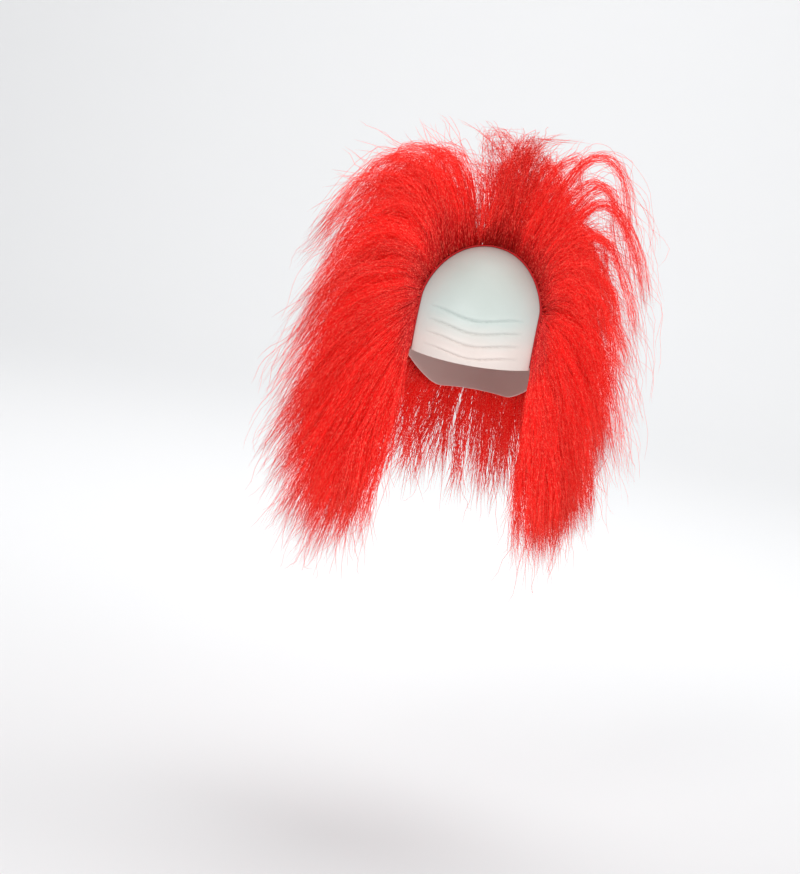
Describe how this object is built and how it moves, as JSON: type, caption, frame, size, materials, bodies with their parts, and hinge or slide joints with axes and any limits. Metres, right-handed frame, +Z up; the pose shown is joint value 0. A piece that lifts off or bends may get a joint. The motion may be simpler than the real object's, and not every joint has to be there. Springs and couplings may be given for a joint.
{
  "type": "clown wig",
  "caption": "Clown wig: a thin moulded latex bald cap with creased forehead and open hollow, ringed by long frizzy hair that stands up over the crown and falls past the jaw.",
  "frame": {"origin": "inside of the cap's crown, where the top of the wearer's head touches it", "axes": "+Z up as worn, the wearer looks along -Y, +X is the wearer's left"},
  "size_m": [0.3737, 0.2506, 0.4437],
  "materials": {
    "latex": "matt greyish-white moulded latex with a soft sheen",
    "hair": "fine frizzy synthetic fibre, bright red, darker at the roots"
  },
  "bodies": {
    "root": {"bald_cap": "latex", "hair_crown": "hair", "hair_right": "hair", "hair_left": "hair", "hair_back": "hair", "hair_nape": "hair"}
  },
  "joints": []
}
